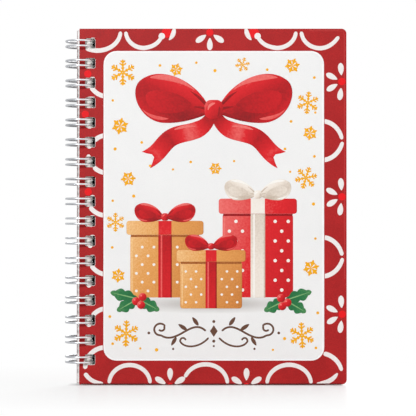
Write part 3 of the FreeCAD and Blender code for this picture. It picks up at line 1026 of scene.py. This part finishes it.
def holly_leaves():
    """Leaves in threes at the foot of the gifts."""
    threes = {(25.4, 36.6): ((13.6, 39.4), (16.4, 31.4), (34.6, 31.6)),
              (88.6, 36.0): ((99.8, 39.8), (97.4, 30.8), (79.4, 31.4))}
    return joined(*[holly_leaf(root, tip, 5.8, 9 + 0.3 * k) for root, tips in threes.items()
                    for k, tip in enumerate(tips)])


def berries():
    """Round berries in threes, each shaded towards its lower right and with a small glint."""
    shapes = []
    for u, v in ((24.6, 35.6), (27.4, 37.4), (26.8, 34.0), (89.4, 35.0), (86.7, 36.9), (87.2, 33.5)):
        layer = 12 + len(shapes) / 2
        ball = shaded(disc((u, v), 1.75), lambda x, y: 0.5 - 0.16 * (x - u) + 0.16 * (y - v))
        glint = disc((u - 0.6, v + 0.6), 0.36, 1.0, count=12)
        shapes += [raised(ball, layer), raised(glint, layer + 1)]
    return joined(*shapes)


def scroll():
    """A pen flourish, both sides alike: a waving line that ends in a curl, leaves along it, and beads."""
    wave = chain(bend((3.4, 0.2), (9.4, 6.4), (15.6, -6.2), (22.6, -1.6)),
                 arc((22.9, 0.9), (2.6, 2.5), -97, 140, 25), arc((22.4, 1.5), (1.3, 1.2), 140, 330, 17))
    curl = chain(bend((2.2, -2.6), (6.4, -7.4), (12.8, -7.2), (14.4, -4.2)),
                 arc((13.2, -4.0), (1.2, 1.3), -10, 170, 17))
    tips = (((6.6, 2.6), (9.2, 6.2), 1.7), ((11.4, 0.6), (15.2, 3.2), 1.7), ((16.0, -2.4), (18.2, -6.0), 1.6))
    leaves = [raised(tapered(np.array([root, tip]), width, fullest=0.45, count=14), 1)
              for root, tip, width in tips]
    lines = [stroke(wave, 0.95, middle=60, lean=True), raised(stroke(curl, 0.85, middle=40, lean=True), 0.5)]
    side = joined(*lines, *leaves, disc((27.8, -0.6), 0.6, count=14), disc((17.4, -7.4), 0.5, count=14))
    lozenge = np.array([[0, -2.1], [1.5, 0.2], [0, 2.5], [-1.5, 0.2]], float).repeat(4, axis=0)
    heart = filled(lozenge + arc((0, 0), (0.15, 0.15), -135, 202.5, 16), (0.0, 0.2))
    beads = [disc((0.0, v), radius, count=14) for v, radius in ((4.3, 0.65), (-4.1, 0.65), (-6.2, 0.45))]
    return joined(side, mirrored(side, 0.0), heart, *beads)


def cover_outline(node):
    """A cover's outline, anticlockwise: square corners at the spine and quarter circles at the fore-edge."""
    width, tall = sheet_size(node)
    radii = (COVER_CORNER, COVER_CORNER)
    foot = arc((width - COVER_CORNER, COVER_CORNER), radii, -90, 0, 9)
    head = arc((width - COVER_CORNER, tall - COVER_CORNER), radii, 0, 90, 9)
    below, above = np.linspace((0.0, 0.0), foot[0], 9), np.linspace(head[-1], (0.0, tall), 9)
    spine = np.linspace((0.0, tall), (0.0, 0.0), 9)
    return np.concatenate([below[:-1], foot, head, above[1:], spine[1:-1]])


def fore_edge_highlight():
    """A painted highlight for the light on the cover's edge: up beside the fore-edge, round the corner and
    along the head.
    """
    width, tall = sheet_size("front_cover_print")
    radius = COVER_CORNER - EDGE_HIGHLIGHT_INSET
    corner = arc((width - COVER_CORNER, tall - COVER_CORNER), (radius, radius), 0, 90, 9)
    upright = np.linspace((width - EDGE_HIGHLIGHT_INSET, EDGE_HIGHLIGHT_START), corner[0], 9)
    level = np.linspace(corner[-1], (width - EDGE_HIGHLIGHT_END, tall - EDGE_HIGHLIGHT_INSET), 5)
    return stroke(chain(upright, corner, level), EDGE_HIGHLIGHT_WIDTH, middle=60, lean=True)


def liner_edges(material):
    """The cut edge of the red print showing as a thin line round each cover's white liner, its dark red
    partly painted shade.
    """
    back, front = cover_outline("back_cover_liner"), cover_outline("front_cover_liner")
    printed("back_liner_edge", framed(back, LINER_EDGE), material,
            "back_cover_liner", "back_cover")
    printed("front_liner_edge", mirrored(framed(front, LINER_EDGE), front[:, 0].max() / 2), material,
            "front_cover_liner", "front_cover", behind=True)


def hole_shadow_strip(material):
    """A black cloth strip inside the back cover, along the holes, slit closely round each wire: a dark sheet
    standing in for the shade deep in the holes.

    Its places across and up make a grid, and the cells that a wire goes through are left out.
    """
    front = box_mm("back_cover_liner")[0][1] - SHADOW_STRIP_LIFT
    slit = TWIN_SPACING / 2 + np.array([-SLIT_HALF, SLIT_HALF])
    breaks = LOOP_LEVELS[::-1, None] + np.concatenate([-slit[::-1], slit])
    levels = np.concatenate([SHADOW_STRIP_ENDS[:1], breaks.ravel(), SHADOW_STRIP_ENDS[1:]])
    across, up = np.meshgrid(SHADOW_STRIP_ACROSS, levels)
    points = np.column_stack([across.ravel(), np.full(across.size, front), up.ravel()])
    faces = grid_faces(*across.shape)
    row, column = np.divmod(np.arange(len(faces)), len(SHADOW_STRIP_ACROSS) - 1)
    kept = faces[~((column == 1) & (row % 2 == 1))]
    piece = piece_of("hole_shadow_strip", points, kept, material, "back_cover")
    piece.data.polygons.foreach_set("use_smooth", np.zeros(len(piece.data.polygons), dtype=bool))
    if piece.data.polygons[0].normal.y > 0:
        piece.data.flip_normals()
    cloth = piece.modifiers.new("thickness", "SOLIDIFY")
    cloth.thickness = 1.4 * SHADOW_STRIP_LIFT * MM
    cloth.offset = -1.0


# Stage, camera and light.

def seen_plainly(tree):
    """1 for what the camera sees, straight or in a mirror-like or clear surface, and 0 for bounced light."""
    ray = tree.nodes.new("ShaderNodeLightPath").outputs
    straight = worked(tree, "MAXIMUM", ray["Is Camera Ray"], ray["Is Glossy Ray"])
    return worked(tree, "MAXIMUM", straight, ray["Is Transmission Ray"])


def stage_floor():
    """A wide pale floor that keeps the object's soft shadow and runs out into the white in front and behind.

    The share of white that the camera sees in it grows with the distance from the book's footprint: the
    length of what is left of (|x|, |y|) when half the footprint is taken off each, nought at the least.
    """
    side = np.linspace(-FLOOR_REACH, FLOOR_REACH, 5)
    x, y = np.meshgrid(side, side)
    mesh = bpy.data.meshes.new("floor")
    points = np.column_stack([x.ravel(), y.ravel(), np.full(x.size, FLOOR_Z)]) * MM
    mesh.from_pydata(points.tolist(), [], grid_faces(*x.shape)[:, ::-1].tolist())
    floor = bpy.data.objects.new("floor", mesh)
    bpy.context.scene.collection.objects.link(floor)
    material, tree, shader = new_finish("pale_floor", 0.3, specular=0.15)
    shader.inputs["Base Color"].default_value = on_screen(247, 247, 247)
    away = tree.nodes.new("ShaderNodeTexCoord").outputs["Object"]
    outside = (*[half * MM for half in FOOTPRINT], 1.0)
    steps = (("ABSOLUTE", None), ("SUBTRACT", outside), ("MAXIMUM", (0.0, 0.0, 0.0)), ("LENGTH", None))
    for operation, other in steps:
        step = tree.nodes.new("ShaderNodeVectorMath")
        step.operation = operation
        tree.links.new(away, step.inputs[0])
        if other is not None:
            step.inputs[1].default_value = other
        away = step.outputs["Value" if operation == "LENGTH" else "Vector"]
    far = FLOOR_WHITES[-1][0]
    stops = [(distance / far, (white, white, white, 1.0)) for distance, white in FLOOR_WHITES]
    whiteness = ramped(tree, ranged(tree, away, 0.0, far * MM, 0.0, 1.0), stops)
    glow = tree.nodes.new("ShaderNodeEmission")
    glow.inputs["Strength"].default_value = 1.0
    blend = tree.nodes.new("ShaderNodeMixShader")
    tree.links.new(worked(tree, "MULTIPLY", seen_plainly(tree), whiteness), blend.inputs["Fac"])
    tree.links.new(shader.outputs[0], blend.inputs[1])
    tree.links.new(glow.outputs[0], blend.inputs[2])
    tree.links.new(blend.outputs[0], tree.nodes["Material Output"].inputs["Surface"])
    mesh.materials.append(material)


def white_surround(strength):
    """A world that the camera and mirror-like surfaces see as white, and that lights the rest more softly."""
    world = bpy.data.worlds.new("surround")
    bpy.context.scene.world = world
    world.use_nodes = True
    tree = world.node_tree
    background = tree.nodes["Background"]
    background.inputs["Color"].default_value = (1.0, 1.0, 1.0, 1.0)
    level = ranged(tree, seen_plainly(tree), 0.0, 1.0, strength, 1.0)
    tree.links.new(level, background.inputs["Strength"])


def soft_lamp(name, place, aim, size, power):
    """A square lamp at a place in metres, turned to look at its aim."""
    light = bpy.data.lights.new(name, "AREA")
    light.size = size
    light.energy = power
    lamp = bpy.data.objects.new(name, light)
    lamp.location = place
    way = np.array(place) - np.array(aim)
    flat = np.hypot(way[0], way[1])
    lamp.rotation_euler = (np.arctan2(flat, way[2]), 0.0, np.arctan2(way[0], -way[1]))
    bpy.context.scene.collection.objects.link(lamp)


def camera():
    """The photograph's view: square on, from a little under half height, tipped up slightly."""
    lens = bpy.data.cameras.new("camera")
    lens.sensor_width = 36.0
    lens.lens = 138.7
    lens.clip_start = 0.05
    eye = bpy.data.objects.new("camera", lens)
    eye.location = (0.00107, -0.6899, 0.0677)
    eye.rotation_euler = (np.radians(90.65), 0.0, 0.0)
    bpy.context.scene.collection.objects.link(eye)
    bpy.context.scene.camera = eye


# Putting it together.

def finish_nodes(laminate):
    """Gives every solid that still shows the finish of what it is made of."""
    kinds = {"_print": laminate, "_board": grey_board(),
             "_liner": paper("liner_paper", (240, 239, 237), (251, 250, 249)),
             "leaf_": paper("leaf_paper", (243, 241, 235), (252, 250, 245), 0.45),
             "_pocket_": paper("pocket_card", (180, 138, 98), (208, 168, 124), 0.6, 0.75),
             "tape_": foam_tape()}
    for name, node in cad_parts.items():
        for mark, finish in kinds.items():
            if mark in name:
                node.data.materials.clear()
                node.data.materials.append(finish)


def front_ink(name, shape, material, layer=0.0, trim=PRINT_TRIM):
    """A shape on the front cover in its layer, placed on the sheet as it was before it was trimmed."""
    return printed(name, shifted(raised(shape, layer), (-trim, 0.0)), material, "front_cover_print",
                   "front_cover")


def back_ink(name, shape, material, layer=0.0):
    """A shape of the front cover's on the back cover's outside, turned over so that the spine sides agree."""
    return printed(name, mirrored(raised(shape, layer), BACK_PRINT_WIDTH / 2), material, "back_cover_print",
                   "back_cover", behind=True)


def front_print(white, red, laminate):
    """The front cover's ink: border, white panel, and bright lines round the panel and beside the holes.

    The lines beside the holes are partly painted highlight; a painted highlight runs along the fore-edge and
    head, and a painted shade along the foot.
    """
    outline = rounded_box(PANEL_LOW, PANEL_HIGH, PANEL_CORNER)
    around = rounded_box(PANEL_LOW - PANEL_GAP, PANEL_HIGH + PANEL_GAP, PANEL_CORNER + PANEL_GAP)
    bright = rim_ink()
    # Painted highlight: a lighter red for the light on the cover's rounded edge.
    crease = painted_ink("edge_highlight_ink", ((0.2, (178, 40, 41)), (0.8, (190, 56, 55))))
    front_ink("border_strokes", border_strokes(), white)
    front_ink("border_petals", border_petals(), white, PETAL_LAYER)
    spine = front_ink("spine_strokes", spine_strokes(), white)
    dots = front_ink("border_dots", border_dots(), red, DOT_LAYER)
    for piece in (spine, dots):
        punched(piece, "front_cover_print", FRONT_HOLE_MARGIN)
    # Painted highlight: bright lines only on the holes' lit right sides and feet.
    front_ink("lit_hole_rims", lit_hole_rims(FRONT_HOLE_MARGIN), bright, RIM_LAYER, 0.0)
    front_ink("hole_scraps", hole_scraps(FRONT_HOLE_MARGIN), white, SCRAP_LAYER, 0.0)
    front_ink("fore_edge_highlight", fore_edge_highlight(), crease, EDGE_HIGHLIGHT_LAYER, 0.0)
    front_ink("foot_shade", stroke(FOOT_SHADE, FOOT_SHADE_WIDTH, middle=60), shaded_red(), FOOT_LAYER)
    front_ink("panel_gap", framed(around, PANEL_GAP), laminate, GAP_LAYER)
    front_ink("panel", filled(outline), panel_paper(), PANEL_LAYER)
    front_ink("panel_rim", framed(outline, PANEL_RIM), bright, PANEL_RIM_LAYER)


def back_print(white, red, gold, laminate):
    """The back cover's ink: the same border round a thin line, and staggered sprigs with crystals between."""
    outline = rounded_box(PANEL_LOW, PANEL_HIGH, PANEL_CORNER)
    half_step = (BACK_COLUMNS[1] - BACK_COLUMNS[0]) / 2
    sprigs = [(u, v) for v in BACK_ROWS[::2] for u in BACK_COLUMNS]
    between = [(u + half_step, v) for v in BACK_ROWS[1::2] for u in BACK_COLUMNS[:-1]]
    crystals = [snow_crystal(place, BACK_CRYSTAL_RADIUS, CRYSTAL_TURN) for place in between]
    petals = [raised(sprig(place, (45.0, 135.0, 225.0, 315.0)), 1.2) for place in sprigs]
    hearts = [raised(disc(place, DOT_RADIUS), 1.6) for place in sprigs]
    back_ink("back_border_strokes", border_strokes(), white)
    back_ink("back_field", filled(outline), laminate, PANEL_LAYER)
    back_ink("back_rim", framed(outline, PANEL_RIM), white, PANEL_RIM_LAYER)
    back_ink("back_petals", joined(border_petals(), *petals), white, PETAL_LAYER)
    spine = back_ink("back_spine_strokes", spine_strokes(), white)
    dots = back_ink("back_dots", joined(border_dots(), *hearts), red, DOT_LAYER)
    for piece in (spine, dots):
        punched(piece, "back_cover_print", BACK_HOLE_MARGIN)
    back_ink("back_crystals", joined(*crystals), gold, PICTURE_LAYER)


def leaf_hole_shades():
    """Painted shade on the first leaf, for the shade inside the holes: a soft grey patch on the spine side of
    each hole.
    """
    greys = ((0.0, (246, 244, 240)), (0.33, (234, 232, 228)), (0.75, (196, 194, 191)))
    levels = LOOP_LEVELS - box_mm("leaf_1")[0][2]
    lines = [np.array([[HOLE_SHADE_START, v], [FRONT_HOLE_MARGIN - HOLE_SHADE_CLEAR, v]]) for v in levels]
    patches = joined(*[band(line, HOLE_HEIGHT + HOLE_SHADE_TALLER, (0.0, 0.33, 0.75, 0.8)) for line in lines])
    # Painted shade: grey that darkens towards each hole.
    printed("leaf_1_hole_shades", patches, painted_ink("hole_shade_ink", greys, 0.5, 0.1), "leaf_1", "leaf_pack_1")


def line_round(node, start, margin, corner, width):
    """A line round a sheet, inside its margins."""
    return framed(rounded_box(start, sheet_size(node) - margin, corner), width)


def page_print(red, gold, cream):
    """Ink on the pages: a red line round each leaf, and on each pocket a cream line and two crystals."""
    for number in range(1, 5):
        leaf, body = f"leaf_{number}", f"leaf_pack_{number}"
        printed(f"{leaf}_line", line_round(leaf, *LEAF_LINE), red, leaf, body)
        for pocket in (f"lower_pocket_{number}", f"upper_pocket_{number}"):
            printed(f"{pocket}_line", line_round(pocket, *POCKET_LINE), cream, pocket, body)
            aside, up = POCKET_CRYSTAL_PLACE
            crystals = [snow_crystal((u, up), POCKET_CRYSTAL_RADIUS, CRYSTAL_TURN)
                        for u in (aside, sheet_size(pocket)[0] - aside)]
            printed(f"{pocket}_crystals", joined(*crystals), gold, pocket, body)


def panel_picture(gold, cream):
    """The picture's inks, each over the panel's white: snow, the bow, three gifts, holly and the scroll."""
    reds = ((0.05, (128, 6, 14)), (0.35, (196, 16, 26)), (0.6, (220, 28, 36)), (1.0, (243, 128, 122)))
    gingers = ((0.05, (150, 82, 34)), (0.4, (210, 134, 64)), (0.7, (230, 162, 88)), (1.0, (250, 208, 150)))
    greens = ((0.1, (18, 74, 44)), (0.5, (38, 116, 66)), (1.0, (134, 184, 120)))
    greys = ((0.0, (241, 241, 240)), (0.5, (222, 220, 218)), (1.0, (186, 182, 178)))
    red, ginger = painted_ink("ribbon_red_ink", reds, 0.8, 0.3), painted_ink("ginger_ink", gingers, 0.7, 0.5)
    green, grey = painted_ink("holly_green_ink", greens), painted_ink("ground_grey_ink", greys, 0.6, 0.1)
    brown = painted_ink("brown_ink", ((0.2, (84, 54, 40)), (0.8, (112, 76, 58))))
    gifts = [gift(*LEFT_GIFT), raised(gift(*SMALL_GIFT), SMALL_GIFT_LAYER)]
    bows = [bow((57.9, 117.6), 1.08), bow((37.0, 71.6), 0.42, False),
            raised(bow((56.75, 59.0), 0.36, False), 4)]
    ribbons = [*[raised(tied, BOW_LAYER) for tied in bows], gift_ribbon(*LEFT_GIFT, width=6.0),
               raised(gift_ribbon(*SMALL_GIFT, width=5.0), SMALL_GIFT_LAYER)]
    trims = [gift_ribbon(*RIGHT_GIFT, width=6.4), raised(bow((76.75, 81.2), 0.46, False), BOW_LAYER),
             gift_dots(*LEFT_GIFT[:2], pitch=5.0, radius=0.62, clear=4.5),
             gift_dots(*RIGHT_GIFT[:2], pitch=5.6, radius=0.75, clear=4.75),
             raised(gift_dots(*SMALL_GIFT[:2], pitch=4.4, radius=0.55, clear=3.75), SMALL_GIFT_LAYER)]
    front_ink("snowfall", snowfall(), gold, PICTURE_LAYER)
    front_ink("ground_shade", ground_shade(), grey, PANEL_RIM_LAYER)
    front_ink("ginger_gifts", joined(*gifts), ginger, PANEL_LAYER)
    front_ink("red_gift", gift(*RIGHT_GIFT), red, PANEL_LAYER)
    front_ink("red_ribbons", joined(*ribbons), red, PANEL_LAYER)
    front_ink("cream_trims", joined(*trims), cream, PANEL_LAYER)
    front_ink("holly_leaves", holly_leaves(), green, PICTURE_LAYER)
    front_ink("berries", berries(), red, PICTURE_LAYER)
    front_ink("scroll", shifted(scroll(), (57.9, 22.6)), brown, PICTURE_LAYER)


bpy.context.scene.view_settings.view_transform = "Standard"
stage_floor()
white_surround(strength=0.27)
soft_lamp("key", (-0.55, -2.00, 1.00), LAMP_AIM, size=0.34, power=29.0)
soft_lamp("rear", (0.55, 1.75, 1.05), LAMP_AIM, size=1.2, power=30.0)
camera()
red_film = red_laminate()
finish_nodes(red_film)
binding_wire(steel())
liner_edges(shaded_edge_red())
# Painted shade: a black strip behind the holes so that they look dark.
hole_shadow_strip(hole_shadow_cloth())
white_border = white_ink()
bright_red = painted_ink("bright_red_ink", ((0.2, (222, 4, 14)), (0.8, (246, 14, 26))))
gold_snow = painted_ink("gold_ink", ((0.2, (230, 150, 2)), (0.5, (242, 170, 6)), (0.85, (250, 190, 34))))
cream_ink = painted_ink("cream_ink",
                        ((0.05, (196, 178, 160)), (0.45, (240, 230, 218)), (0.9, (253, 250, 245))))
front_print(white_border, bright_red, red_film)
panel_picture(gold_snow, cream_ink)
back_print(white_border, bright_red, gold_snow, red_film)
page_print(bright_red, gold_snow, cream_ink)
leaf_hole_shades()
